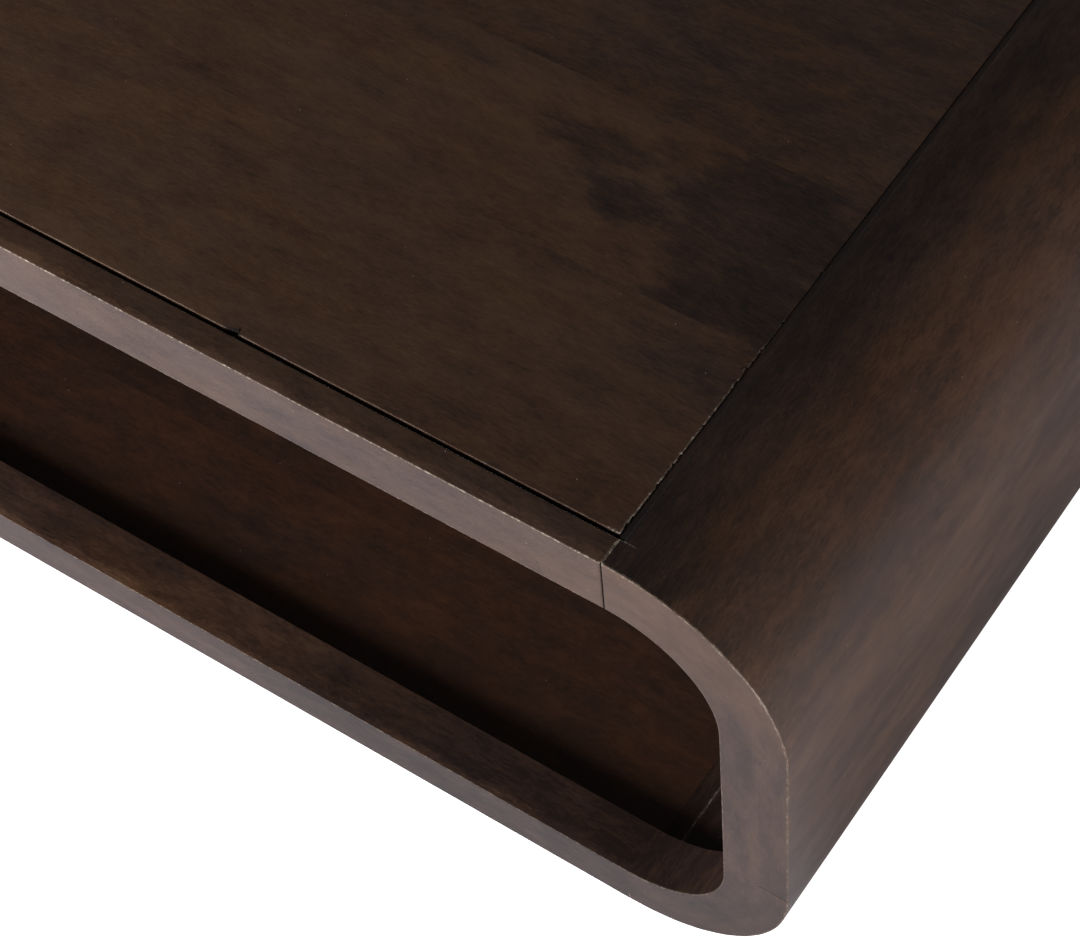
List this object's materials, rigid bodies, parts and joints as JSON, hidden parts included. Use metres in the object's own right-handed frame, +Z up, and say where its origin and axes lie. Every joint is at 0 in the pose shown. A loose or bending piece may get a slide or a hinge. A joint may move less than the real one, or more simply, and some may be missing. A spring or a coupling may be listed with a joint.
{
  "type": "waterfall coffee table",
  "caption": "Low table shaped as a rounded rectangular wooden tube, open at front and rear, with a boarded top and a shelf inside.",
  "frame": {"origin": "on the floor under the middle of the table", "axes": "+X along the table to the right end, +Y from the open front to the rear, +Z up"},
  "size_m": [1.2, 0.7, 0.4],
  "materials": {
    "panel_wood": "satin",
    "frame_wood": "satin",
    "bearer_wood": "matte",
    "joint_wood": "matte",
    "fastener_steel": "satin",
    "glide_plastic": "matte"
  },
  "bodies": {
    "root": {"base_rail_front": "frame_wood", "base_rail_rear": "frame_wood", "bearer_left": "bearer_wood", "bearer_right": "bearer_wood", "bearer_screws": "fastener_steel", "corner_lower_left": "frame_wood", "corner_lower_right": "frame_wood", "corner_upper_left": "frame_wood", "corner_upper_right": "frame_wood", "glide_nails": "fastener_steel", "glide_pads": "glide_plastic", "lip_lower_left_front": "frame_wood", "lip_lower_left_rear": "frame_wood", "lip_lower_right_front": "frame_wood", "lip_lower_right_rear": "frame_wood", "lip_upper_left_front": "frame_wood", "lip_upper_left_rear": "frame_wood", "lip_upper_right_front": "frame_wood", "lip_upper_right_rear": "frame_wood", "panel_end_splines": "joint_wood", "rail_dowels": "joint_wood", "shelf_board_1": "panel_wood", "shelf_board_2": "panel_wood", "shelf_board_3": "panel_wood", "shelf_board_4": "panel_wood", "shelf_board_5": "panel_wood", "shelf_board_splines": "joint_wood", "shelf_screws": "fastener_steel", "side_board_left_1": "frame_wood", "side_board_left_2": "frame_wood", "side_board_right_1": "frame_wood", "side_board_right_2": "frame_wood", "side_splines": "joint_wood", "stile_dowels": "joint_wood", "stile_left_front": "frame_wood", "stile_left_rear": "frame_wood", "stile_right_front": "frame_wood", "stile_right_rear": "frame_wood", "top_board_1": "panel_wood", "top_board_2": "panel_wood", "top_board_3": "panel_wood", "top_board_4": "panel_wood", "top_board_5": "panel_wood", "top_board_splines": "joint_wood", "top_rail_front": "frame_wood", "top_rail_rear": "frame_wood", "top_screws": "fastener_steel"}
  },
  "joints": []
}
